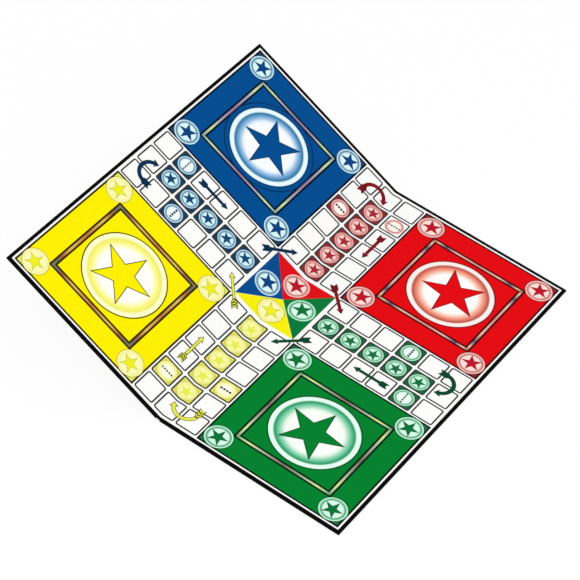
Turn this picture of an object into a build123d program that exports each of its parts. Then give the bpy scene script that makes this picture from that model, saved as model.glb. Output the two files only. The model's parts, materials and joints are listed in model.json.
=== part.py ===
from build123d import *
from math import radians, tan
import os

# A folding ludo board, standing half open as it does when it is put down.
# The half with the red and green homes lies flat on the table. The half with the
# yellow and blue homes is raised about the fold, with the printed sides inwards.
# All sizes are in millimetres. +Z is up and +Y runs along the fold. The origin is
# the middle of the underside of the half that lies flat.

# The board as a whole
board_side = 360.0
fold_angle = 24.4  # degrees that the raised half stands up from flat
fold_gap = 3.0  # between the halves when the board is flat, crossed by the hinge alone
shut_clearance = 0.3  # between the edge tapes of the two halves when the board is shut

# The layers of each half
print_paper = 0.2
hinge_cloth = 0.25
greyboard = 1.5
liner_paper = 0.2

# What lies along the edges
cloth_leaf = 12.0  # how far the hinge cloth reaches over each greyboard
eased_edge = 0.5  # radius of the greyboard where the liner turns up into the fold
tape = 0.2  # thickness of the edge tape
tape_on_face = 3.0  # width of the tape that shows on the face
tape_on_back = 8.0  # width of the tape that is turned in on the back

# Distances from the fold line, and depths below the face of the print
half_side = board_side / 2
panel_start = fold_gap / 2
panel_end = half_side - tape
panel_width = board_side - 2 * tape
core_start = panel_start + liner_paper
cloth_back = print_paper + hinge_cloth
core_back = print_paper + greyboard
liner_back = core_back + liner_paper
axis_height = tape + shut_clearance / 2  # of the hinge axis over the face

# Each half has a frame of its own. Its origin is the foot of the hinge axis on the
# face of the print, its x runs away from the fold and its z is square to the face.
fold_line = (panel_start + half_side) / 2
hinge_axis_point = (fold_line, 0, liner_back + axis_height)
lying = Plane(hinge_axis_point, x_dir=(-1, 0, 0), z_dir=(0, 0, 1)).offset(-axis_height)
upright = Plane(hinge_axis_point, x_dir=(1, 0, 0), z_dir=(0, 0, 1))
raised = upright.rotated((0, -fold_angle, 0)).offset(-axis_height)

# Paper and cloth cross the fold on an arc that runs into both faces without a crease
bend_radius = axis_height + panel_start / tan(radians(fold_angle / 2))
bend_centre = lying.from_local_coords((panel_start, 0, bend_radius))
bend_axis = Axis(bend_centre, (0, -1, 0))


def across_fold(half, y):
    """The plane square to the fold at y, with its x away from the fold and its y square to the face."""
    return Plane(half.from_local_coords((0, y, 0)), x_dir=half.x_dir, z_dir=-half.y_dir)


def face_layer(half, depth, thickness, length):
    """A flat sheet that starts at the fold and lies this deep below the face."""
    with BuildPart() as sheet:
        with BuildSketch(half.offset(-depth)):
            with Locations((panel_start, 0)):
                Rectangle(length, panel_width, align=(Align.MIN, Align.CENTER))
        extrude(amount=-thickness)
    return sheet.part


def greyboard_core(half):
    """The stiff core, with a bed pressed for the hinge cloth and its lower fold edge eased."""
    with BuildPart() as core:
        with BuildSketch(across_fold(half, panel_width / 2)) as section:
            with BuildLine():
                Polyline(
                    (core_start, -cloth_back),
                    (core_start, -core_back),
                    (panel_end, -core_back),
                    (panel_end, -print_paper),
                    (panel_start + cloth_leaf, -print_paper),
                    (panel_start + cloth_leaf, -cloth_back),
                    close=True,
                )
            make_face()
            fold_corners = section.vertices().group_by(Axis.X)[0]
            fillet(fold_corners.sort_by(Axis.Y)[0], eased_edge)
        extrude(amount=panel_width)
    return core.part


def liner(half):
    """The back paper: a panel between the turned-in tapes, and a lip that is turned up into the fold."""
    width = board_side - 2 * tape_on_back
    with BuildPart() as paper:
        with BuildSketch(across_fold(half, width / 2)) as section:
            with BuildLine():
                Polyline(
                    (panel_start, -cloth_back),
                    (panel_start, -liner_back),
                    (half_side - tape_on_back, -liner_back),
                    (half_side - tape_on_back, -core_back),
                    (core_start, -core_back),
                    (core_start, -cloth_back),
                    close=True,
                )
            make_face()
            inner_corner = section.vertices().group_by(Axis.X)[1].sort_by(Axis.Y)[0]
            fillet(inner_corner, eased_edge)
            outer_corner = section.vertices().group_by(Axis.X)[0].sort_by(Axis.Y)[0]
            fillet(outer_corner, eased_edge + liner_paper)
        extrude(amount=width)
    return paper.part


def edge_tape(start_plane, length, mitres):
    """A strip of tape folded round an edge of the board. The plane's x runs inwards from that edge."""
    with BuildPart() as strip:
        with BuildSketch(start_plane) as section:
            with BuildLine():
                Polyline(
                    (0, tape),
                    (tape_on_face, tape),
                    (tape_on_face, 0),
                    (tape, 0),
                    (tape, -core_back),
                    (tape_on_back, -core_back),
                    (tape_on_back, -core_back - tape),
                    (0, -core_back - tape),
                    close=True,
                )
            make_face()
            fillet(section.vertices().group_by(Axis.X)[0], tape)
        extrude(amount=length)
        for mitre in mitres:
            split(bisect_by=mitre)
    return strip.part


def side_tape(half):
    """The tape on the long edge that lies opposite the fold, mitred at both corners."""
    first = half.from_local_coords((half_side, -half_side, 0))
    last = half.from_local_coords((half_side, half_side, 0))
    mitres = [
        Plane(first, z_dir=half.x_dir + half.y_dir),
        Plane(last, z_dir=half.x_dir - half.y_dir),
    ]
    return edge_tape(Plane(first, x_dir=-half.x_dir, z_dir=half.y_dir), board_side, mitres)


def end_tape(half, end):
    """The tape on one end of a half, square at the fold and mitred at the corner. end is 1 or -1."""
    corner = half.from_local_coords((half_side, end * half_side, 0))
    at_fold = half.from_local_coords((panel_start, end * half_side, 0))
    inwards = -end * half.y_dir
    along = -end * half.x_dir
    start = corner if end > 0 else at_fold
    mitre = Plane(corner, z_dir=end * half.y_dir - half.x_dir)
    return edge_tape(Plane(start, x_dir=inwards, z_dir=along), half_side - panel_start, [mitre])


def bend(depth, thickness):
    """The stretch of a sheet that bends over the fold, from the face of one half to the other."""
    start = lying.from_local_coords((panel_start, 0, -depth))
    with BuildPart() as strip:
        with BuildSketch(Plane(start, x_dir=(0, 1, 0), z_dir=(1, 0, 0))):
            Rectangle(panel_width, thickness, align=(Align.CENTER, Align.MAX))
        revolve(axis=bend_axis, revolution_arc=fold_angle)
    return strip.part


def tape_bridge(end):
    """The tape that carries the black edge over the fold, with a lip down the end of the paper and cloth."""
    start = lying.from_local_coords((panel_start, -end * half_side, 0))
    with BuildPart() as bridge:
        with BuildSketch(Plane(start, x_dir=(0, 1, 0), z_dir=(1, 0, 0))) as section:
            with BuildLine():
                Polyline(
                    (0, tape),
                    (-end * tape_on_face, tape),
                    (-end * tape_on_face, 0),
                    (-end * tape, 0),
                    (-end * tape, -cloth_back),
                    (0, -cloth_back),
                    close=True,
                )
            make_face()
            outer = section.vertices().filter_by_position(Axis.X, -tape / 2, tape / 2)
            fillet(outer.sort_by(Axis.Y)[-1], tape)
        revolve(axis=bend_axis, revolution_arc=fold_angle)
    return bridge.part


pieces = {}
for half, name, first_end, last_end in (
    (lying, "red_green", "red", "green"),
    (raised, "yellow_blue", "yellow", "blue"),
):
    pieces[f"core_{name}"] = greyboard_core(half)
    pieces[f"print_{name}"] = face_layer(half, 0, print_paper, panel_end - panel_start)
    pieces[f"hinge_cloth_{name}"] = face_layer(half, print_paper, hinge_cloth, cloth_leaf)
    pieces[f"liner_{name}"] = liner(half)
    pieces[f"edge_tape_{name}"] = side_tape(half)
    pieces[f"edge_tape_{first_end}_end"] = end_tape(half, 1)
    pieces[f"edge_tape_{last_end}_end"] = end_tape(half, -1)

pieces["print_over_fold"] = bend(0, print_paper)
pieces["hinge_cloth_over_fold"] = bend(print_paper, hinge_cloth)
pieces["edge_tape_over_fold_red_blue"] = tape_bridge(-1)
pieces["edge_tape_over_fold_green_yellow"] = tape_bridge(1)

os.makedirs("parts", exist_ok=True)
for name, piece in pieces.items():
    piece.label = name
    export_step(piece, f"parts/{name}.step")
    print(name, round(piece.volume, 2), "cubic mm")
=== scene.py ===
# %% [markdown]
# # A folding ludo board
#
# A ludo board is a sheet of printed paper that is glued over two greyboard panels. A strip of cloth under
# the print holds the panels together, so the board folds shut with its printed sides inwards, and black
# tape is turned round its edges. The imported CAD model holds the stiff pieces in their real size.
# This script loads them, makes the bends over the fold and the printed inks in Blender, and gives every
# piece the finish of its real material.

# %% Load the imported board
import json
from math import asin, atan2, cos, degrees, hypot, pi, radians, sin, tan

import bmesh
import bpy
from mathutils import Matrix, Vector


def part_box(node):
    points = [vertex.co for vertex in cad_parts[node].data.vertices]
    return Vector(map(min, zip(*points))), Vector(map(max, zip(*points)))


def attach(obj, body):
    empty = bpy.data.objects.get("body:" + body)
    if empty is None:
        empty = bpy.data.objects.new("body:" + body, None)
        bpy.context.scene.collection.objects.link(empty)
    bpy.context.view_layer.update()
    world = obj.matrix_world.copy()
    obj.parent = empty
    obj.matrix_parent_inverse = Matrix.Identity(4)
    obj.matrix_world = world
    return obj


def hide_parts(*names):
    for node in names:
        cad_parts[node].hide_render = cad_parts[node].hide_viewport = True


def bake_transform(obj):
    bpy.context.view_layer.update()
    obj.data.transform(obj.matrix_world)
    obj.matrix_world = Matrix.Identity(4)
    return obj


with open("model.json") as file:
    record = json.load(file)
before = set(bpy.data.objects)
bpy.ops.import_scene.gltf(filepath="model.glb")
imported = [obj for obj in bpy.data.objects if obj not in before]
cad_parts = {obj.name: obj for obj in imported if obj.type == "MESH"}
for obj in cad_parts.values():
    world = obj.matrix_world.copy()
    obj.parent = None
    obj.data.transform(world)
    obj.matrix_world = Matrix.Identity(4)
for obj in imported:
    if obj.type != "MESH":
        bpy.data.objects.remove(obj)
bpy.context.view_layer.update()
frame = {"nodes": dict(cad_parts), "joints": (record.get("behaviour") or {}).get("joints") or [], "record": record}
nodes = frame["nodes"]

# %% [markdown]
# ## The shape of the fold
#
# The red and green half lies flat and the yellow and blue half stands up from it. Between them the paper
# runs on an arc that touches both faces. All of this can be measured from the frame: the joint says where
# the axis is and how far the board is from flat, and the printed sheet says where its edge and its face
# are. So no measure is typed twice, and the bends fit the CAD pieces exactly.

# %% Measure the fold in millimetres
MM = 0.001
fold = frame["joints"][0]
axis_x, _, axis_z = (place / MM for place in fold["pos_m"])
fold_angle = radians(-fold["range_deg"][0])
sheet_low, sheet_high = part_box("print_red_green")
flat_edge = sheet_high.x / MM
face_z = sheet_high.z / MM
sheet_half_length = sheet_high.y / MM
gap_half = axis_x - flat_edge
axis_height = axis_z - face_z
bend_radius = axis_height + gap_half / tan(fold_angle / 2)
print("arc of the paper:", round(bend_radius, 3), "mm, face at", round(face_z, 2), "mm")

# %% [markdown]
# ## From the flat sheet to the board
#
# A printer works on a flat sheet, and so does this script. A place on the sheet is given in millimetres
# from its middle, to the right and up as a player sees it with the blue home at the top left. One function
# lays such a place on the board as it stands: on the flat half, on the raised half or on the arc between.

# %% Lay a point of the flat sheet on the board
def on_board(right, up, height):
    """A place on the sheet, and a height over its face, as a point of the board in metres."""
    if right >= gap_half:
        x, z = axis_x - right, face_z + height
    elif right <= -gap_half:
        rise = height - axis_height
        x = axis_x - right * cos(fold_angle) - rise * sin(fold_angle)
        z = axis_z - right * sin(fold_angle) + rise * cos(fold_angle)
    else:
        turn = fold_angle * (gap_half - right) / (2 * gap_half)
        radius = bend_radius - height
        x = flat_edge + radius * sin(turn)
        z = face_z + bend_radius - radius * cos(turn)
    return Vector((x, -up, z)) * MM


# %% [markdown]
# ## Tools for materials
#
# Colours are picked on a screen, so they are written as sRGB hex values. Blender works with linear
# light, so one function turns them. A second function adds a node with its settings and its links: a value
# that is itself a socket becomes a link, and any other value is set on the socket. Paper, size, starch and
# lacquer all bend light about alike, so every finish of the board has the same IOR.

# %% Colours and nodes
PAPER_IOR = 1.5


def linear(code):
    """An sRGB hex value as the linear colour that a shader takes."""
    shares = [int(code[i:i + 2], 16) / 255 for i in (1, 3, 5)]
    return [s / 12.92 if s <= 0.04045 else ((s + 0.055) / 1.055) ** 2.4 for s in shares] + [1.0]


def add_node(tree, kind, properties=None, inputs=None):
    """Adds a node, sets its properties, and sets or links its inputs."""
    node = tree.nodes.new(kind)
    for name, value in (properties or {}).items():
        setattr(node, name, value)
    for name, value in (inputs or {}).items():
        if isinstance(value, bpy.types.NodeSocket):
            tree.links.new(value, node.inputs[name])
        else:
            node.inputs[name].default_value = value
    return node


def fill_ramp(ramp, stops):
    """Gives a colour ramp its stops: pairs of a position and a hex colour."""
    elements = ramp.color_ramp.elements
    while len(elements) < len(stops):
        elements.new(1.0)
    for element, (position, code) in zip(elements, stops):
        element.position = position
        element.color = linear(code)


def empty_tree(owner):
    """The node tree of a material or a world, emptied."""
    owner.use_nodes = True
    owner.node_tree.nodes.clear()
    return owner.node_tree


def new_finish(name, roughness, gloss):
    """A material with one Principled shader, whose gloss is its specular level."""
    material = bpy.data.materials.new(name)
    tree = empty_tree(material)
    shader = add_node(tree, "ShaderNodeBsdfPrincipled", inputs={
        "Roughness": roughness, "Specular IOR Level": gloss, "IOR": PAPER_IOR,
    })
    add_node(tree, "ShaderNodeOutputMaterial", inputs={"Surface": shader.outputs["BSDF"]})
    return material, tree, shader


def patches(tree, patch_mm, detail=2.0, stretch=(1.0, 1.0, 1.0)):
    """Uneven patches about as wide as patch_mm, on the object's own coordinates."""
    place = add_node(tree, "ShaderNodeTexCoord")
    mapped = add_node(tree, "ShaderNodeMapping", inputs={
        "Vector": place.outputs["Object"], "Scale": stretch,
    })
    return add_node(tree, "ShaderNodeTexNoise", inputs={
        "Vector": mapped.outputs["Vector"], "Scale": 1 / (patch_mm * MM), "Detail": detail,
    })


# %% [markdown]
# ## The printed inks
#
# The face is coated art paper, printed by offset litho and sealed with a thin film. Offset ink is even,
# but not perfectly: its density drifts a little over some millimetres, and the paper's fibres show through
# the film as a faint unevenness. The real fibres are finer than the picture can show, so they are drawn
# 0.9 mm wide. The film is satin and its gloss is kept low, so that dark inks stay dark under soft light.

# %% Drift and tooth of a print
INK_DRIFT_MM = 5.0
FILM_ROUGHNESS = 0.5
INK_GLOSS = 0.02
FIBRE_MM = 0.9
FILM_TOOTH_MM = 0.01


def add_paper_tooth(tree, shader, depth_mm):
    """The faint relief of paper fibres."""
    fibre = patches(tree, FIBRE_MM, detail=3.0)
    bump = add_node(tree, "ShaderNodeBump", inputs={
        "Height": fibre.outputs["Fac"], "Strength": 0.5, "Distance": depth_mm * MM,
    })
    tree.links.new(bump.outputs["Normal"], shader.inputs["Normal"])


def print_colour(tree, shader, colour):
    """Prints a colour, a value or a socket. It drifts by a hundredth or two, and the fibres show."""
    drift = patches(tree, INK_DRIFT_MM)
    strength = add_node(tree, "ShaderNodeMapRange", inputs={
        "Value": drift.outputs["Fac"], "From Min": 0.3, "From Max": 0.7, "To Min": 0.98, "To Max": 1.01,
    })
    mixed = add_node(tree, "ShaderNodeVectorMath", {"operation": "SCALE"}, {
        0: colour, "Scale": strength.outputs["Result"],
    })
    tree.links.new(mixed.outputs["Vector"], shader.inputs["Base Color"])
    add_paper_tooth(tree, shader, FILM_TOOTH_MM)


# %% Printed finishes
def litho_ink(name, code):
    """One even printed colour."""
    material, tree, shader = new_finish(f"litho ink, {name}", FILM_ROUGHNESS, INK_GLOSS)
    print_colour(tree, shader, linear(code)[:3])
    return material


def litho_blend(name, stops):
    """A printed colour that changes from the middle of the UV map, 0 on the ramp, to its edge, 1."""
    material, tree, shader = new_finish(f"litho ink, {name}", FILM_ROUGHNESS, INK_GLOSS)
    place = add_node(tree, "ShaderNodeUVMap", {"uv_map": "print"})
    reach = add_node(tree, "ShaderNodeVectorMath", {"operation": "DISTANCE"}, {
        0: place.outputs["UV"], 1: (0.5, 0.5, 0.0),
    })
    double = add_node(tree, "ShaderNodeMath", {"operation": "MULTIPLY"}, {0: reach.outputs["Value"], 1: 2.0})
    ramp = add_node(tree, "ShaderNodeValToRGB", inputs={"Fac": double.outputs["Value"]})
    fill_ramp(ramp, stops)
    print_colour(tree, shader, ramp.outputs["Color"])
    return material


# %% [markdown]
# ## The colours of the four players
#
# Each player has a bright colour for the home, a darker one for the squares of the last column and the
# arrows, and pale tints for the medallions. Here they stand together, so that a colour is changed in one
# place. The quarter says how often the blue arm is turned to the right to reach this player's arm. The
# star angles say where one tip points, against the clock from the right. The fine outline is the width in
# millimetres of the line round a small medallion, which is thinner on yellow.

# %% Players
players = {
    "blue": {
        "quarter": 0, "home_star": 46, "cell_star": 64, "fine_outline": 0.6,
        "ground": "#004D90", "corner": "#27425E", "line": "#030A1C", "outline": "#04305A", "cell": "#183D5A",
        "arrow": "#0A3152", "arrow_edge": "#082A47",
        "star": "#0D4484", "star_edge": "#0A2C50", "faint_star": "#164674",
        "glow": ("#FAFDFF", "#E4F2FB", "#B4CEEA", "#7AAEDC", "#4A8CBA", "#387496"),
        "halo": "#D8F5FD", "halo_bright": "#F3FFFF",
        "small_disc": ("#DCFBFF", "#C2E2EC", "#648AA0", "#C9EDFF", "#4A7CA4"),
        "cell_disc": ("#D0F6FF", "#BCE2EE", "#64899F", "#C2E5FA", "#4E82AA"), "mark_ground": "#F4FDFF",
    },
    "red": {
        "quarter": 1, "home_star": 46, "cell_star": 47, "fine_outline": 0.7,
        "ground": "#E4060F", "corner": "#852932", "line": "#380406", "outline": "#6A0A12", "cell": "#8A2C34",
        "arrow": "#86121E", "arrow_edge": "#6A0E18",
        "star": "#C0142A", "star_edge": "#7A0E1C", "faint_star": "#AC2636",
        "glow": ("#FFFDFA", "#FCE0D2", "#F8BEA6", "#F5927E", "#D46C5C", "#AC564C"),
        "halo": "#FFE4DE", "halo_bright": "#FFF8F5",
        "small_disc": ("#FFE2DA", "#FACCC4", "#C07E7A", "#FFC6C0", "#C45858"),
        "cell_disc": ("#FFD5CC", "#F1B6AE", "#CC8985", "#F3B0AD", "#B45A5A"), "mark_ground": "#FFF8F0",
    },
    "green": {
        "quarter": 2, "home_star": 226, "cell_star": 88, "fine_outline": 0.6,
        "ground": "#00802E", "corner": "#2A6649", "line": "#041C0C", "outline": "#04401E", "cell": "#20623F",
        "arrow": "#084A30", "arrow_edge": "#063F28",
        "star": "#0B7439", "star_edge": "#074424", "faint_star": "#167040",
        "glow": ("#FAFEF8", "#DFF6E6", "#B0E0C6", "#78CEA4", "#40AC7C", "#3A9468"),
        "halo": "#D6FBE8", "halo_bright": "#F1FFF6",
        "small_disc": ("#D8FFEA", "#C2F0D6", "#68A284", "#BEFCDA", "#529E74"),
        "cell_disc": ("#CAFDE0", "#B8EED0", "#72AA8C", "#B8F2D2", "#58A47A"), "mark_ground": "#EEFFF6",
    },
    "yellow": {
        "quarter": 3, "home_star": 226, "cell_star": 90, "fine_outline": 0.3,
        "ground": "#FDEF00", "corner": "#E0E868", "line": "#322604", "outline": "#403E04", "cell": "#F0E24A",
        "arrow": "#E8E850", "arrow_edge": "#404004",
        "star": "#F0F020", "star_edge": "#B0AC38", "faint_star": "#E8EE56",
        "glow": ("#FFFFF8", "#FFFFE4", "#FFFCBE", "#FCF98C", "#F6F470", "#EDEC74"),
        "halo": "#FEFDBC", "halo_bright": "#FFFEDA",
        "small_disc": ("#FFFCB8", "#FCF9B8", "#F6F3A4", "#F9F69C", "#DCD866"),
        "cell_disc": ("#FDFAA8", "#F9F7A6", "#F3F29E", "#EFEE92", "#C8C658"), "mark_ground": "#FFFFE8",
    },
}
black_ink = litho_ink("black lines", "#363A36")
symbol_ink = litho_ink("dark symbols", "#2E302C")
print("players:", ", ".join(players))

# %% [markdown]
# ## Tools for drawing on the sheet
#
# Every printed shape starts flat, in millimetres. A bmesh operator makes a disc, a square or a star round
# the origin, where it is turned, and then it is moved to its place. A face remembers its finish in its
# material index, which has a name wherever a drawing has more than one. The UV map tells a colour ramp how
# far each point lies from the middle of a disc, or along its side from the middle of a square frame.

# %% Draw flat shapes
def new_drawing():
    """An empty flat drawing with the UV map that the ramps read."""
    drawing = bmesh.new()
    drawing.loops.layers.uv.new("print")
    return drawing


def player_drawings():
    """One player after the other, with the player's quarter and an empty drawing."""
    for name, player in players.items():
        yield name, player, player["quarter"], new_drawing()


def put(drawing, corners, middle, angle=0.0):
    """Turns new corners about the origin and moves them to their place on the sheet."""
    bmesh.ops.rotate(drawing, verts=corners, cent=(0, 0, 0), matrix=Matrix.Rotation(radians(angle), 3, "Z"))
    bmesh.ops.translate(drawing, verts=corners, vec=middle)


def faces_of(corners):
    """The faces that are made of these corners alone."""
    known = set(corners)
    found = {face for corner in corners for face in corner.link_faces}
    return [face for face in found if known.issuperset(face.verts)]


def map_print(drawing, faces, middle, reach, by_sides=False):
    """Lets a ramp run from the middle as far as reach: all round, or along each side of a frame."""
    layer = drawing.loops.layers.uv["print"]
    for face in faces:
        spot = face.calc_center_median() - middle
        across = 0 if abs(spot.x) > abs(spot.y) else 1
        for loop in face.loops:
            offset = (loop.vert.co - middle) / reach / 2
            if by_sides:
                offset[across] = 0
            loop[layer].uv = (0.5 + offset.x, 0.5 + offset.y)


def draw_circle(drawing, middle, radius, sides):
    """A round patch. Returns its face."""
    corners = bmesh.ops.create_circle(drawing, cap_ends=True, segments=sides, radius=radius)["verts"]
    put(drawing, corners, middle)
    return faces_of(corners)[0]


def draw_disc(drawing, middle, radius, sides, finish):
    """A round patch with a finish whose ramp runs to its edge."""
    disc = draw_circle(drawing, middle, radius, sides)
    disc.material_index = finish
    map_print(drawing, [disc], middle, radius)


def round_corners(drawing, corners, radius, steps):
    """Bevels corners of a flat face round, and returns the face."""
    made = bmesh.ops.bevel(
        drawing, geom=corners, offset=radius, offset_type="OFFSET", affect="VERTICES",
        segments=steps, profile=0.5, material=-1,
    )
    return next(face for corner in made["verts"] for face in corner.link_faces)


def draw_square(drawing, middle, side, corner_radius=0.0):
    """A square patch, whose corners may be rounded. Returns its face."""
    corners = bmesh.ops.create_grid(drawing, x_segments=1, y_segments=1, size=side / 2)["verts"]
    face = faces_of(corners)[0]
    if corner_radius:
        face = round_corners(drawing, corners, corner_radius, steps=5)
    put(drawing, list(face.verts), middle)
    return face


def draw_border(drawing, faces, width, finish):
    """Insets faces by a width and gives the new rim a finish."""
    rim = bmesh.ops.inset_region(
        drawing, faces=faces, thickness=width, use_even_offset=True, use_boundary=True,
    )
    for face in rim["faces"]:
        face.material_index = finish
    return rim["faces"]


def draw_ring(drawing, middle, radius, width, sides, finish):
    """A thin printed line outside a circle, whose radius is given."""
    disc = draw_circle(drawing, middle, radius + width, sides)
    draw_border(drawing, [disc], width, finish)
    bmesh.ops.delete(drawing, geom=[disc], context="FACES_ONLY")


def draw_star(drawing, middle, size, angle, fill, edge):
    """A star with its outer box centred. size is the radius of its tips and its edge's width."""
    tip_radius, edge_width = size
    corners = bmesh.ops.create_circle(
        drawing, cap_ends=True, cap_tris=True, segments=10, radius=tip_radius
    )["verts"]
    outer = [corner for corner in corners if corner.co.length > tip_radius / 2]
    outer.sort(key=lambda corner: atan2(corner.co.y, corner.co.x))
    lead = radians(angle) - atan2(outer[0].co.y, outer[0].co.x)
    inner_share = sin(radians(18)) / sin(radians(54))
    bmesh.ops.scale(drawing, verts=outer[1::2], vec=(inner_share, inner_share, 1))
    put(drawing, corners, (0, 0, 0), degrees(lead))
    spread = [sorted(corner.co[axis] for corner in corners) for axis in range(3)]
    put(drawing, corners, middle - Vector([(places[0] + places[-1]) / 2 for places in spread]))
    faces = faces_of(corners)
    for face in faces:
        face.material_index = fill
    draw_border(drawing, faces, edge_width, edge)


def round_board(right, up, quarter):
    """A place on the blue arm, turned to the right by quarters of a turn."""
    for _ in range(quarter):
        right, up = up, -right
    return Vector((right, up, 0))


# %% [markdown]
# ## From a drawing to a printed film
#
# Ink has next to no thickness, but a film of a few hundredths of a millimetre keeps every colour on top of
# the one below it in any picture, and makes each print a solid of its own. A drawing that crosses the
# fold is cut along the bend first, so that it can follow the arc. Then it is extruded, and its corners are
# laid on the board. The right of the sheet rides on the half that lies flat, the left on the raised one,
# and what crosses the fold is laid on the arc and stays where it lies.

# %% Put a shape on the board
def finished_mesh(name, shape, finishes):
    """Turns a bmesh into a mesh with its finishes, and counts the edges that aren't closed."""
    open_edges = sum(not edge.is_manifold for edge in shape.edges)
    mesh = bpy.data.meshes.new(name)
    shape.to_mesh(mesh)
    shape.free()
    for finish in finishes:
        mesh.materials.append(finish)
    return mesh, open_edges


def add_to_scene(name, data):
    """A new object in the scene, for a mesh, a lamp or a camera."""
    made = bpy.data.objects.new(name, data)
    bpy.context.scene.collection.objects.link(made)
    return made


def give_to_board(piece, mesh, halves):
    """Makes the mesh a piece that rides on the right or left half of the sheet, or that stays where it lies."""
    made = add_to_scene(piece, mesh)
    if len(halves) == 2:
        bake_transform(made)
    else:
        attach(made, "red_green_half" if halves == {"right"} else "yellow_blue_half")
    return made


# %% Print a drawing
FILM_MM = {
    "home": 0.02, "centre": 0.02, "squares": 0.03, "medallions": 0.04,
    "stars": 0.05, "marks": 0.05, "arrows": 0.055,
}
BEND_STEPS = 16
ON_FOLD_MM = 0.01
printed = []


def print_film(kind, name, drawing, finishes):
    """Turns a flat drawing into a thin closed film on the face of the board."""
    off_fold = [corner.co.x for corner in drawing.verts if abs(corner.co.x) > ON_FOLD_MM]
    halves = {"right" if place > 0 else "left" for place in off_fold}
    if len(halves) == 2:
        for cut in range(BEND_STEPS + 1):
            right = gap_half * (2 * cut / BEND_STEPS - 1)
            everything = drawing.verts[:] + drawing.edges[:] + drawing.faces[:]
            bmesh.ops.bisect_plane(
                drawing, geom=everything, dist=1e-4, plane_co=(right, 0, 0), plane_no=(1, 0, 0)
            )
    raised = bmesh.ops.extrude_face_region(drawing, geom=drawing.faces[:])
    top = [item for item in raised["geom"] if isinstance(item, bmesh.types.BMVert)]
    bmesh.ops.translate(drawing, verts=top, vec=(0, 0, FILM_MM[kind]))
    for corner in drawing.verts:
        corner.co = on_board(*corner.co)
    bmesh.ops.recalc_face_normals(drawing, faces=drawing.faces[:])
    piece = f"{kind}_{name}"
    mesh, open_edges = finished_mesh(piece, drawing, finishes)
    give_to_board(piece, mesh, halves)
    printed.append(piece)
    print(piece, len(mesh.polygons), "faces, open edges:", open_edges, "on:", *sorted(halves))


# %% [markdown]
# ## The four homes
#
# A home is a square of one bright colour with a dark key line round it. The line is printed over the
# colour, which shows through, so its black has a tint of it. Further in lies a square band of running
# colours between two such lines, like a gilt frame. One square, inset five times, makes all of this: each
# inset leaves a rim with its own finish. The colours of the band run from the middle of a side to its
# corners, so all four sides look alike.
#
# Thin lines are drawn a little wider than they are printed, because a render mixes them with what lies
# beside them in linear light, which makes them look thinner.

# %% Bands of running colours
BAND_PLACES = (1.0, 0.9, 0.73, 0.48, 0.0)
band_colours = {
    "blue": ("#889A93", "#9EC2AA", "#CCE2A6", "#A2A6BE", "#967696"),
    "red": ("#A06E50", "#F4B698", "#564A6E", "#F4B4A2", "#D98A80"),
    "green": ("#6C986E", "#9EC894", "#D0E894", "#A5BA9C", "#767060"),
    "yellow": ("#8A765C", "#62705E", "#A85C36", "#E2BC5E", "#C07040"),
}
print("tones in half a side:", len(BAND_PLACES))

# %% Print the homes
HOME_MIDDLE = 105.3
HOME_SIDE = 140.1
KEY_LINE = 1.7
BAND_MIDLINE = 45.7
BAND_WIDTH = 2.1
BAND_LINE = 1.8
TO_BAND = HOME_SIDE / 2 - KEY_LINE - BAND_MIDLINE - BAND_WIDTH / 2 - BAND_LINE
KEY, GROUND, BAND = range(3)
RIMS = ((KEY_LINE, KEY), (TO_BAND, GROUND), (BAND_LINE, KEY), (BAND_WIDTH, BAND), (BAND_LINE, KEY))

for name, player, quarter, drawing in player_drawings():
    middle = round_board(-HOME_MIDDLE, HOME_MIDDLE, quarter)
    ground = draw_square(drawing, middle, HOME_SIDE)
    ground.material_index = GROUND
    for width, finish in RIMS:
        rim = draw_border(drawing, [ground], width, finish)
        if finish == BAND:
            map_print(drawing, rim, middle, BAND_MIDLINE, by_sides=True)
    band = sorted(zip(BAND_PLACES, band_colours[name]))
    print_film("home", name, drawing, [
        litho_ink(f"lines on {name}", player["line"]),
        litho_ink(f"{name} ground", player["ground"]),
        litho_blend(f"running colours of the {name} home", band),
    ])

# %% [markdown]
# ## The squares of the four arms
#
# An arm has three columns of six squares with rounded corners and a thin black line. Most of them are bare
# paper. The middle column leads to the centre, so five of its squares have the player's dark colour, and
# so do the squares where a token enters and where it turns in. Only red's entry square stays white. A
# square is a grid of one face, whose four corners are bevelled round and whose rim is inset as the line.
# The dark squares have one even colour, and the yellow ones are shaded from the middle nearly out to the
# corners.
#
# Each home has a duller shade in its corners. A small tile of it lies there, and the round medallion that
# is printed over it leaves only a wedge to be seen.

# %% Places on an arm
PITCH = 23.28
FIRST_CELL = 47.2
CELL_SIDE = 21.5
CELL_CORNER = 2.1
CELL_LINE = 1.45
STEPS = range(6)
LANES = (-1, 0, 1)
COLUMN = range(5)
ENTRY = (4, 1)
TURN_IN = (3, -1)


def cell_middle(step, lane, quarter, across=0.0):
    """The middle of a square, or a place across from it. step counts outwards, and lane is -1, 0 or 1."""
    return round_board(-(FIRST_CELL + step * PITCH), lane * PITCH + across, quarter)


def home_spots(quarter, reach):
    """Four places in the corners of a home, this far to the sides of its middle."""
    middle = round_board(-HOME_MIDDLE, HOME_MIDDLE, quarter)
    return [middle + Vector((a, b, 0)) * reach for a in (-1, 1) for b in (-1, 1)]


# %% Print the squares
CORNER_TILE = 7.0
CORNER_TILE_STEP = HOME_SIDE / 2 - KEY_LINE - CORNER_TILE / 2
SHADE_REACH = 0.68
CELL_EDGE, CELL_FILL, DULL_CORNER = range(3)
YELLOW_SQUARE = (
    (0.0, "#FFFCB8"), (0.56, "#F6F28C"), (0.66, "#D4D25C"), (0.78, "#E4E068"), (1.0, "#CAB44C"),
)

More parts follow.
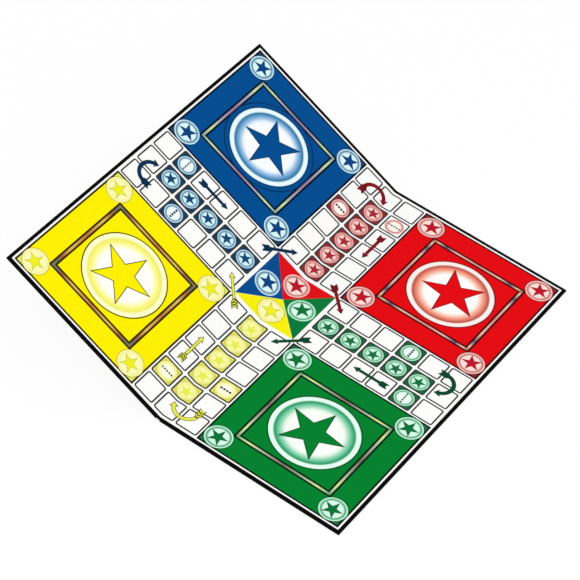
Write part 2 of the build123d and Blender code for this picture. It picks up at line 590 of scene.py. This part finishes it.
for name, player, quarter, drawing in player_drawings():
    for spot in home_spots(quarter, CORNER_TILE_STEP):
        draw_square(drawing, spot, CORNER_TILE).material_index = DULL_CORNER
    coloured = [(step, 0) for step in COLUMN] + [TURN_IN]
    if name != "red":
        coloured.append(ENTRY)
    for step in STEPS:
        for lane in LANES:
            middle = cell_middle(step, lane, quarter)
            face = draw_square(drawing, middle, CELL_SIDE, CELL_CORNER)
            draw_border(drawing, [face], CELL_LINE, CELL_EDGE)
            if (step, lane) in coloured:
                face.material_index = CELL_FILL
                map_print(drawing, [face], middle, CELL_SIDE * SHADE_REACH)
            else:
                bmesh.ops.delete(drawing, geom=[face], context="FACES_ONLY")
    if name == "yellow":
        fill = litho_blend("yellow squares", YELLOW_SQUARE)
    else:
        fill = litho_ink(f"{name} squares", player["cell"])
    corner = litho_ink(f"corners of the {name} home", player["corner"])
    print_film("squares", name, drawing, [black_ink, fill, corner])

# %% [markdown]
# ## The centre
#
# In the middle the four colours meet in a square of four triangles. A circle of four sides with its cap
# cut into triangles is exactly that, once it is turned by an eighth. Blue lies on the left and green on the
# right, and they follow each other clockwise. The yellow one has a thin pale edge, because yellow is
# printed up to the darker colours and not under them.

# %% Print the centre
CENTRE_HALF = 32.7
PALE_EDGE = 0.55
triangle_colours = {
    "blue": "#054C8E", "red": "#DE101A", "green": "#08793A", "yellow": "#F8F008", "pale": "#EAF08C",
}
order = list(triangle_colours)
drawing = new_drawing()
made = bmesh.ops.create_circle(
    drawing, cap_ends=True, cap_tris=True, segments=4, radius=CENTRE_HALF * hypot(1, 1)
)
put(drawing, made["verts"], (0, 0, 0), 45)
for face in faces_of(made["verts"]):
    spot = face.calc_center_median()
    turns_from_right = round(atan2(spot.y, spot.x) / (pi / 2))
    face.material_index = (order.index("green") - turns_from_right) % 4
yellow = [face for face in drawing.faces if face.material_index == order.index("yellow")]
draw_border(drawing, yellow, PALE_EDGE, order.index("pale"))
print_film("centre", "triangles", drawing, [
    litho_ink(f"{name} triangle", code) for name, code in triangle_colours.items()
])

# %% [markdown]
# ## The medallions
#
# Each home has one large medallion: a pale ring round a disc that glows from the player's colour at its
# rim to white inside. Small medallions stand in the corners of the homes, on the dark squares and in the
# centre. A flat disc with a colour ramp from its middle to its rim gives all of these rings in one piece,
# and keeps their edges crisp.

# %% Rings as colour ramps
SMALL_RADIUS = 12.25
CELL_RADIUS = 8.9
LARGE_RADIUS = 38.7
CORNER_STEP = 56.8
CENTRE_STEP = 19.4


def large_stops(player):
    """From the white middle of the large disc to its pale ring."""
    places = (0.60, 0.66, 0.71, 0.77, 0.83, 0.871)
    rings = [(0.899, player["halo"]), (0.94, player["halo_bright"]), (0.99, player["halo"])]
    return list(zip(places, player["glow"])) + rings


def small_stops(tints):
    """The same for a small disc: a pale middle, a thin shaded ring and a light ring."""
    middle, soft, shaded, light, rim = tints
    return [
        (0.61, middle), (0.71, soft), (0.785, shaded), (0.855, shaded),
        (0.92, light), (0.975, light), (1.0, rim),
    ]


# %% [markdown]
# Every medallion on a home also has a thin dark line round it, and the one in the blue home has a second
# line some millimetres further out. In the centre only the yellow one has a line, because a pale disc
# would be lost on yellow. A line is a circle whose rim is kept and whose middle is deleted.

# %% Print the medallions
OUTLINE = 1.1
SECOND_RADIUS = 43.4
LARGE_SIDES = 128
SMALL_SIDES = 64
CELL_SIDES = 48
LARGE, SMALL, RING, MARKED, ON_SQUARE = range(5)

for name, player, quarter, drawing in player_drawings():
    home = round_board(-HOME_MIDDLE, HOME_MIDDLE, quarter)
    draw_disc(drawing, home, LARGE_RADIUS, LARGE_SIDES, LARGE)
    draw_ring(drawing, home, LARGE_RADIUS, OUTLINE, LARGE_SIDES, RING)
    if name == "blue":
        draw_ring(drawing, home, SECOND_RADIUS, OUTLINE, LARGE_SIDES, RING)
    small = home_spots(quarter, CORNER_STEP) + [round_board(-CENTRE_STEP, 0, quarter)]
    outlined = small if name == "yellow" else small[:-1]
    for spot in small:
        draw_disc(drawing, spot, SMALL_RADIUS, SMALL_SIDES, SMALL)
    for spot in outlined:
        draw_ring(drawing, spot, SMALL_RADIUS, player["fine_outline"], SMALL_SIDES, RING)
    for step in COLUMN:
        draw_disc(drawing, cell_middle(step, 0, quarter), CELL_RADIUS, CELL_SIDES, ON_SQUARE)
    for step, lane in (ENTRY, TURN_IN):
        draw_disc(drawing, cell_middle(step, lane, quarter), CELL_RADIUS, CELL_SIDES, MARKED)
    marked_disc = (player["mark_ground"],) + player["small_disc"][1:]
    print_film("medallions", name, drawing, [
        litho_blend(f"large {name} medallion", large_stops(player)),
        litho_blend(f"small {name} medallions", small_stops(player["small_disc"])),
        litho_ink(f"outlines of the {name} medallions", player["outline"]),
        litho_blend(f"{name} medallions with marks", small_stops(marked_disc)),
        litho_blend(f"{name} medallions on squares", small_stops(player["cell_disc"])),
    ])

# %% [markdown]
# ## The stars
#
# Most medallions hold a star of five straight-lined points, the common token mark. Its inner corners lie
# where the lines of a pentagram cross, at 0.382 of the tips' radius. The printer centred each star by its
# outer box and not by its middle, so it sits a little off the middle of its medallion, and so it does
# here. A thin darker edge is an inset with an ink of its own. Each size of star is given by the radius of
# its tips and the width of its edge. The stars on yellow squares have no edge that shows, so theirs gets
# the ink of the star.

# %% Print the stars
LARGE_STAR = (29.9, 0.8)
SMALL_STAR = (9.4, 0.4)
CELL_STAR = (6.8, 0.3)
POINTS_DOWN = 270
LARGE_FILL, LARGE_EDGE, SMALL_FILL, SMALL_EDGE, FAINT = range(5)

for name, player, quarter, drawing in player_drawings():
    angle = player["home_star"]
    home = round_board(-HOME_MIDDLE, HOME_MIDDLE, quarter)
    draw_star(drawing, home, LARGE_STAR, angle, LARGE_FILL, LARGE_EDGE)
    for spot in home_spots(quarter, CORNER_STEP):
        draw_star(drawing, spot, SMALL_STAR, angle, SMALL_FILL, SMALL_EDGE)
    in_centre = round_board(-CENTRE_STEP, 0, quarter)
    draw_star(drawing, in_centre, SMALL_STAR, POINTS_DOWN, SMALL_FILL, SMALL_EDGE)
    edge = FAINT if name == "yellow" else SMALL_EDGE
    for step in COLUMN:
        spot = cell_middle(step, 0, quarter)
        draw_star(drawing, spot, CELL_STAR, player["cell_star"], FAINT, edge)
    print_film("stars", name, drawing, [
        litho_ink(f"large {name} star", player["ground"]),
        litho_ink(f"edge of the large {name} star", player["outline"]),
        litho_ink(f"small {name} stars", player["star"]),
        litho_ink(f"edge of the small {name} stars", player["star_edge"]),
        litho_ink(f"{name} stars on squares", player["faint_star"]),
    ])

# %% [markdown]
# ## The arrows
#
# Arrows lead the players round: a straight one after the entry square, one across the corner of each
# home, and a curved one over the end of each arm. An arrow is one strip that is pushed forward from its
# notched tail. The tail edge is extruded three times, which gives the flight its three feathers. The middle
# of the last edge goes on as the shaft, straight or spun about a point for the curved arrow, and the head
# is set on its end with its barbs a little behind. Every feather gets its own border, which shows best on
# the yellow arrows.

# %% Push an edge forward
FEATHERS = 3
FLIGHT_HALF = 3.2
FLIGHT_POINT = 2.3
EDGE_LINE = 0.55
BARB_SWEEP = 0.5
CURVE_STEPS = 20
ARROW_EDGE = 1


def corners_of(edges):
    """The corners of some edges, each once and in order."""
    return list(dict.fromkeys(corner for edge in edges for corner in edge.verts))


def push(drawing, chain, distance):
    """Extrudes a chain of edges, moves the new ones forward and returns them."""
    made = bmesh.ops.extrude_edge_only(drawing, edges=chain)["geom"]
    corners = [item for item in made if isinstance(item, bmesh.types.BMVert)]
    bmesh.ops.translate(drawing, verts=corners, vec=(distance, 0, 0))
    edges = [item for item in made if isinstance(item, bmesh.types.BMEdge)]
    return [edge for edge in edges if edge.verts[0] in corners and edge.verts[1] in corners]


def spin_round(drawing, chain, middle, angle):
    """Spins a chain of edges to the right about a point and returns the last ones."""
    turned = bmesh.ops.spin(
        drawing, geom=corners_of(chain) + chain, cent=middle, axis=(0, 0, -1), angle=angle,
        steps=CURVE_STEPS,
    )["geom_last"]
    return [item for item in turned if isinstance(item, bmesh.types.BMEdge)]


# %% Draw an arrow
def draw_arrow(drawing, tail, heading, make, straight=0.0, arc=None):
    """An arrow from its tail. Its shaft goes straight on, or round to the right on an arc."""
    flight, shaft_half, head_half, head_length = make
    older = set(drawing.verts)
    across = (FLIGHT_HALF, shaft_half, 0, -shaft_half, -FLIGHT_HALF)
    notch = [drawing.verts.new((FLIGHT_POINT * (1 - abs(y) / FLIGHT_HALF), y, 0)) for y in across]
    chain = [drawing.edges.new(pair) for pair in zip(notch, notch[1:])]
    pieces, known = [], set(drawing.faces)
    for _ in range(FEATHERS):
        chain = push(drawing, chain, flight / FEATHERS)
        pieces.append([face for face in drawing.faces if face not in known])
        known.update(pieces[-1])
    between = (FLIGHT_HALF + shaft_half) / 2
    inner = [edge for edge in chain if all(abs(end.co.y) < between for end in edge.verts)]
    chain = push(drawing, inner, 0)
    front = flight + FLIGHT_POINT
    for corner in corners_of(chain):
        corner.co.x = front
    turn = 0.0
    if arc:
        radius, lean, sweep = arc
        middle = (front - radius * sin(lean), -radius * cos(lean), 0)
        chain = spin_round(drawing, chain, middle, sweep)
        turn = lean + sweep
    else:
        chain = push(drawing, chain, straight)
    along = Vector((cos(turn), -sin(turn), 0))
    sideways = Vector((-along.y, along.x, 0))
    left, middle, right = sorted(corners_of(chain), key=lambda corner: -corner.co.dot(sideways))
    back = middle.co - along * BARB_SWEEP
    barbs = [drawing.verts.new(back + sideways * side * head_half) for side in (1, -1)]
    tip = drawing.verts.new(middle.co + along * head_length)
    drawing.faces.new([left, barbs[0], tip, middle])
    drawing.faces.new([middle, tip, barbs[1], right])
    pieces.append([face for face in drawing.faces if face not in known])
    for piece in pieces:
        draw_border(drawing, piece, EDGE_LINE, ARROW_EDGE)
    put(drawing, [corner for corner in drawing.verts if corner not in older], tail, heading)


# %% [markdown]
# Straight and curved arrows differ in their make, which is four lengths: the flight, half the width of the
# shaft, half the width of the head and the length of the head. A curve is a radius, how far it leans out
# of the line at the flight, and how far it sweeps. The table gives the tail of each arrow of the blue arm,
# its heading, its make and the way of its shaft.

# %% Print the arrows
STRAIGHT_MAKE = (7.5, 1.55, 3.4, 5.8)
CURVED_MAKE = (8.8, 2.0, 4.2, 5.0)
CURVE = (11.4, radians(16), radians(137))
ARROWS = (
    ((-123.8, 23.0), 0, STRAIGHT_MAKE, {"straight": 19.7}),
    ((-45.2, 22.1), 45, STRAIGHT_MAKE, {"straight": 20.0}),
    ((-146.8, -22.6), 180, CURVED_MAKE, {"arc": CURVE}),
)

for name, player, quarter, drawing in player_drawings():
    for tail, heading, make, way in ARROWS:
        draw_arrow(drawing, round_board(*tail, quarter), heading - 90 * quarter, make, **way)
    print_film("arrows", name, drawing, [
        litho_ink(f"{name} arrows", player["arrow"]),
        litho_ink(f"edge of the {name} arrows", player["arrow_edge"]),
    ])

# %% [markdown]
# ## The entry and turn-in marks
#
# Two squares of each arm say where a token enters and where it leaves the track. Here plain marks stand on
# them: a row of five wedges that point the way a token goes, and a row of four blocks. Each row is as wide
# as the mark on such a square usually is.

# %% Print the marks
WEDGE_STEP = 2.6
WEDGE_RADIUS = 1.45
BLOCK_STEP = 2.9
BLOCK_SIDE = 2.1

for name, _, quarter, drawing in player_drawings():
    for place in (-2, -1, 0, 1, 2):
        made = bmesh.ops.create_circle(drawing, cap_ends=True, segments=3, radius=WEDGE_RADIUS)
        first = made["verts"][0].co
        heading = -degrees(atan2(first.y, first.x)) - 90 * quarter
        put(drawing, made["verts"], cell_middle(*ENTRY, quarter, place * WEDGE_STEP), heading)
    for place in (-1.5, -0.5, 0.5, 1.5):
        draw_square(drawing, cell_middle(*TURN_IN, quarter, place * BLOCK_STEP), BLOCK_SIDE)
    print_film("marks", name, drawing, [symbol_ink])

# %% [markdown]
# ## The papers, the tape, the cloth and the board
#
# The printed sheet is white where no ink lies. The liner on the back is uncoated, so it is matt and shows
# more of its fibres and a few specks. The edge is bound with black paper tape that is embossed with a fine
# grain, to look like leather cloth and to hide finger marks. Greyboard is pressed from waste paper, so its
# warm grey is mottled. The hinge cloth is plain woven cotton, and its threads are drawn 0.5 mm apart. Such a
# weave comes again after two threads, and a wave texture of scale 1 makes 20 / (2 pi) waves in a unit.

# %% Finish of papers and greyboard
SPECK_MM = 0.7


def fibrous(name, roughness, gloss, tooth_mm, tones, specks=None, **size):
    """A paper or a board whose tones, and specks if it has any, follow patches of some size."""
    material, tree, shader = new_finish(name, roughness, gloss)
    cloud = patches(tree, **size)
    ramp = add_node(tree, "ShaderNodeValToRGB", inputs={"Fac": cloud.outputs["Fac"]})
    fill_ramp(ramp, tones)
    colour = ramp.outputs["Color"]
    if specks:
        speck = patches(tree, SPECK_MM, detail=1.0)
        spots = add_node(tree, "ShaderNodeValToRGB", inputs={"Fac": speck.outputs["Fac"]})
        fill_ramp(spots, specks)
        mixed = add_node(tree, "ShaderNodeMix", {"data_type": "RGBA", "blend_type": "MULTIPLY"}, {
            "Factor": 1.0, 6: colour, 7: spots.outputs["Color"],
        })
        colour = mixed.outputs[2]
    tree.links.new(colour, shader.inputs["Base Color"])
    add_paper_tooth(tree, shader, tooth_mm)
    return material


# %% Finish of the tape
GRAIN_MM = 0.9
EMBOSS_MM = 0.05


def binding_tape():
    """Black paper tape, embossed with a fine leather grain."""
    material, tree, shader = new_finish("black binding tape, embossed grain", roughness=0.6, gloss=0.03)
    place = add_node(tree, "ShaderNodeTexCoord")
    grain = add_node(tree, "ShaderNodeTexVoronoi", {"feature": "SMOOTH_F1"}, {
        "Vector": place.outputs["Object"], "Scale": 1 / (GRAIN_MM * MM), "Smoothness": 0.6,
    })
    # The black is the tape's own colour, but it is painted a little darker in the grooves of the grain, which the
    # bump below presses in: that darkening is painted shade.
    tone = add_node(tree, "ShaderNodeValToRGB", inputs={"Fac": grain.outputs["Distance"]})
    fill_ramp(tone, [(0.1, "#030303"), (0.8, "#010101")])
    tree.links.new(tone.outputs["Color"], shader.inputs["Base Color"])
    wear = patches(tree, patch_mm=6.0, detail=3.0)
    sheen = add_node(tree, "ShaderNodeMapRange", inputs={
        "Value": wear.outputs["Fac"], "From Min": 0.3, "From Max": 0.7, "To Min": 0.52, "To Max": 0.68,
    })
    tree.links.new(sheen.outputs["Result"], shader.inputs["Roughness"])
    bump = add_node(tree, "ShaderNodeBump", {"invert": True}, {
        "Height": grain.outputs["Distance"], "Strength": 0.6, "Distance": EMBOSS_MM * MM,
    })
    tree.links.new(bump.outputs["Normal"], shader.inputs["Normal"])
    return material


# %% Finish of the cloth
THREAD_MM = 0.5
THREAD_DEPTH_MM = 0.08
WAVES_IN_UNIT = 20 / (2 * pi)


def hinge_cloth():
    """Plain woven bookbinding cloth, sized with starch."""
    material, tree, shader = new_finish("cotton hinge cloth, plain weave", roughness=0.9, gloss=0.1)
    place = add_node(tree, "ShaderNodeTexCoord")
    scale = 1 / (2 * THREAD_MM * MM) / WAVES_IN_UNIT
    threads = [
        add_node(tree, "ShaderNodeTexWave", {"bands_direction": direction}, {
            "Vector": place.outputs["Object"], "Scale": scale, "Distortion": 0.4,
        })
        for direction in ("X", "Y")
    ]
    woven = add_node(tree, "ShaderNodeMath", {"operation": "MULTIPLY"}, {
        0: threads[0].outputs["Fac"], 1: threads[1].outputs["Fac"],
    })
    # The cream is the cotton's own colour, but it is painted darker where the weave is low, between the threads,
    # from the same value as the bump: that darkening is painted shade.
    ramp = add_node(tree, "ShaderNodeValToRGB", inputs={"Fac": woven.outputs["Value"]})
    fill_ramp(ramp, [(0.0, "#C9C4B5"), (0.6, "#E2DECF")])
    tree.links.new(ramp.outputs["Color"], shader.inputs["Base Color"])
    bump = add_node(tree, "ShaderNodeBump", inputs={
        "Height": woven.outputs["Value"], "Strength": 0.7, "Distance": THREAD_DEPTH_MM * MM,
    })
    tree.links.new(bump.outputs["Normal"], shader.inputs["Normal"])
    return material


# %% Dress the CAD pieces
slot_finish = {
    "print_paper": fibrous(
        "coated art paper, satin film", FILM_ROUGHNESS, gloss=0.1, tooth_mm=FILM_TOOTH_MM,
        tones=[(0.3, "#FBFBFA"), (0.7, "#FDFDFC")], patch_mm=14.0,
    ),
    "liner_paper": fibrous(
        "uncoated liner paper", roughness=0.85, gloss=0.2, tooth_mm=0.03,
        tones=[(0.3, "#DCD9CF"), (0.7, "#E6E3DA")], specks=[(0.22, "#BDB7A8"), (0.30, "#FFFFFF")],
        patch_mm=9.0, detail=5.0,
    ),
    "greyboard": fibrous(
        "greyboard, pressed", roughness=0.9, gloss=0.15, tooth_mm=0.05,
        tones=[(0.3, "#A39C90"), (0.5, "#B2AB9F"), (0.72, "#C4BDB1")],
        patch_mm=0.8, detail=4.0, stretch=(1.0, 0.35, 1.0),
    ),
    "edge_tape": binding_tape(),
    "hinge_cloth": hinge_cloth(),
}
subparts = frame["record"]["subparts"]
for part in subparts:
    for slot in nodes[part["node"]].material_slots:
        slot.link = "OBJECT"
        slot.material = slot_finish[part["material_slot"]]
print("dressed", len(subparts), "CAD nodes")

# %% [markdown]
# ## The bends over the fold
#
# Where the paper, the cloth and the tape cross the fold they are free to bend. The CAD model holds them as
# stiff arcs in the shape of this pose, which is right for its measures but can't move.

# %% Spin a strip over the fold
cloth_low, cloth_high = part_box("hinge_cloth_red_green")
tape_low, tape_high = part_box("edge_tape_over_fold_green_yellow")
sheet_mm = (sheet_high.z - sheet_low.z) / MM
cloth_mm = (cloth_high.z - cloth_low.z) / MM
tape_mm = tape_high.y / MM - sheet_half_length


def bend_strip(name, section, slot, replaced, round_corner=None):
    """Spins a section, given as places along the fold and heights over the face, over the bend."""
    strip = bmesh.new()
    corners = [strip.verts.new((flat_edge, y, face_z + height)) for y, height in section]
    start = strip.faces.new(corners)
    if round_corner is not None:
        start = round_corners(strip, [corners[round_corner]], tape_mm, steps=4)
    bmesh.ops.spin(
        strip, geom=[start, *start.edges, *start.verts], cent=(flat_edge, 0, face_z + bend_radius),
        axis=(0, -1, 0), angle=fold_angle, steps=BEND_STEPS,
    )
    caps = [face for face in strip.faces if len(face.verts) > 4]
    bmesh.ops.triangulate(strip, faces=caps)
    bmesh.ops.recalc_face_normals(strip, faces=strip.faces[:])
    bmesh.ops.scale(strip, verts=strip.verts[:], vec=(MM, MM, MM))
    mesh, open_edges = finished_mesh(name, strip, [slot_finish[slot]])
    made = give_to_board(name, mesh, {"left", "right"})
    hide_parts(replaced)
    reach = max(corner.co.x for corner in mesh.vertices) / MM
    cad_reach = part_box(replaced)[1].x / MM
    print(name, "open edges:", open_edges, "reaches", round(reach, 3), "CAD", round(cad_reach, 3))


# %% Bend the paper and the cloth
def sheet_section(top, thickness):
    """The section of a sheet over the whole fold. top is the height of its upper side over the face."""
    ends = (-sheet_half_length, sheet_half_length)
    return [(ends[0], top), (ends[1], top), (ends[1], top - thickness), (ends[0], top - thickness)]


bend_strip("paper_bend", sheet_section(0, sheet_mm), "print_paper", "print_over_fold")
bend_strip("cloth_bend", sheet_section(-sheet_mm, cloth_mm), "hinge_cloth", "hinge_cloth_over_fold")

# %% [markdown]
# The tape over the fold has two legs: a broad one on the face and a short lip down the ends of the paper
# and the cloth. Its outer corner is a fold in the tape, so it is bevelled round. Four steps are enough for
# a corner of this size.

# %% Bend the tape
tape_on_face = (tape_high.y - tape_low.y) / MM
OUTER_CORNER = 1


def tape_section(end):
    """The section of the tape at one end of the fold. end is 1 or -1 along the fold."""
    outside = sheet_half_length + tape_mm
    depth = sheet_mm + cloth_mm
    section = [
        (outside - tape_on_face, tape_mm), (outside, tape_mm), (outside, -depth),
        (sheet_half_length, -depth), (sheet_half_length, 0), (outside - tape_on_face, 0),
    ]
    return [(y * end, height) for y, height in section]


for ends, end in (("red_blue", -1), ("green_yellow", 1)):
    replaced = f"edge_tape_over_fold_{ends}"
    bend_strip(f"tape_bend_{ends}", tape_section(end), "edge_tape", replaced, OUTER_CORNER)

# %% [markdown]
# ## Floor and light
#
# The board stands on a plain white floor, which lies 0.1 mm lower, so that no two faces share a plane. It
# is almost white, and for rays that go straight to the camera or to a mirror part of it is plain white
# light, so that it looks like white paper and still keeps the board's shadow. The world lights everything
# evenly, and one large soft lamp, high up on the camera's side, gives the two halves the same light, so
# that the colours come out as they are written.

# %% Floor
FLOOR_REACH = 3.0
FLOOR_MIDDLE = (0.08, 0, -0.1 * MM)


def seen_directly(tree):
    """1 for rays that show the background: to the camera, in a reflection or through glass."""
    rays = add_node(tree, "ShaderNodeLightPath")
    total = rays.outputs["Is Camera Ray"]
    for name in ("Is Glossy Ray", "Is Transmission Ray"):
        total = add_node(tree, "ShaderNodeMath", {"operation": "MAXIMUM"}, {
            0: total, 1: rays.outputs[name],
        }).outputs["Value"]
    return total


white_ground = bpy.data.materials.new("white paper ground")
tree = empty_tree(white_ground)
matt = add_node(tree, "ShaderNodeBsdfDiffuse", inputs={"Color": linear("#FBFBFB")})
glow = add_node(tree, "ShaderNodeEmission", inputs={"Color": linear("#FFFFFF"), "Strength": 1.0})
share = add_node(tree, "ShaderNodeMath", {"operation": "MULTIPLY"}, {0: seen_directly(tree), 1: 0.9})
both = add_node(tree, "ShaderNodeMixShader", inputs={
    "Fac": share.outputs["Value"], 1: matt.outputs["BSDF"], 2: glow.outputs["Emission"],
})
add_node(tree, "ShaderNodeOutputMaterial", inputs={"Surface": both.outputs["Shader"]})
ground = bmesh.new()
bmesh.ops.create_grid(ground, x_segments=8, y_segments=8, size=FLOOR_REACH)
bmesh.ops.translate(ground, verts=ground.verts[:], vec=FLOOR_MIDDLE)
floor_mesh, _ = finished_mesh("floor", ground, [white_ground])
floor = add_to_scene("floor", floor_mesh)
print("floor:", [round(side, 2) for side in floor.dimensions], "m")

# %% World and lamp
AMBIENT = 0.89
LAMP_PLACE = Vector((-0.3, 0.9, 1.9))
LAMP_AIM = Vector((0.09, 0, 0))
world = bpy.data.worlds.new("soft studio")
bpy.context.scene.world = world
tree = empty_tree(world)
level = add_node(tree, "ShaderNodeMapRange", inputs={
    "Value": seen_directly(tree), "To Min": AMBIENT, "To Max": 1.0,
})
sky = add_node(tree, "ShaderNodeBackground", inputs={
    "Color": linear("#FFFFFF"), "Strength": level.outputs["Result"],
})
add_node(tree, "ShaderNodeOutputWorld", inputs={"Surface": sky.outputs["Background"]})

lamp_data = bpy.data.lights.new("soft lamp", "AREA")
lamp_data.shape = "DISK"
lamp_data.size = 1.6
lamp_data.energy = 7.0
lamp = add_to_scene("soft lamp", lamp_data)
lamp.location = LAMP_PLACE
lamp.rotation_euler = (LAMP_AIM - LAMP_PLACE).to_track_quat("-Z", "Y").to_euler()
print("lamp:", lamp_data.energy, "W over", lamp_data.size, "m")

# %% [markdown]
# ## Camera
#
# The camera's place was found from the six corners of the board in the photograph: the four outer ones and
# the two ends of the fold. They fix where the camera stood, how it was turned and how long its lens was.
# It looked down at about 46 degrees, from 2.3 m away, and was tilted a little to one side.

# %% Place the camera
camera_data = bpy.data.cameras.new("photograph")
camera_data.sensor_width = 36.0
camera_data.lens = 171.35
camera = add_to_scene("photograph", camera_data)
camera_right = Vector((-0.813205, -0.564148, 0.142951))
camera_up = Vector((0.493366, -0.537980, 0.683497))
camera_back = Vector((-0.308688, 0.626350, 0.715819))
camera_place = Vector((-0.63835, 1.47009, 1.69727))
turned = Matrix((camera_right, camera_up, camera_back)).transposed()
camera.matrix_world = Matrix.Translation(camera_place) @ turned.to_4x4()
bpy.context.scene.camera = camera
bpy.context.scene.view_settings.view_transform = "Standard"
looks_down = degrees(asin(camera_back.z))
print("camera:", round(camera_place.length, 2), "m away, down", round(looks_down), "degrees")

# %% [markdown]
# ## The end
#
# The dressed board has to be as large as the CAD model. Here only the number of printed films is written down.

# %% Finish
bpy.context.view_layer.update()
print("printed films:", len(printed))
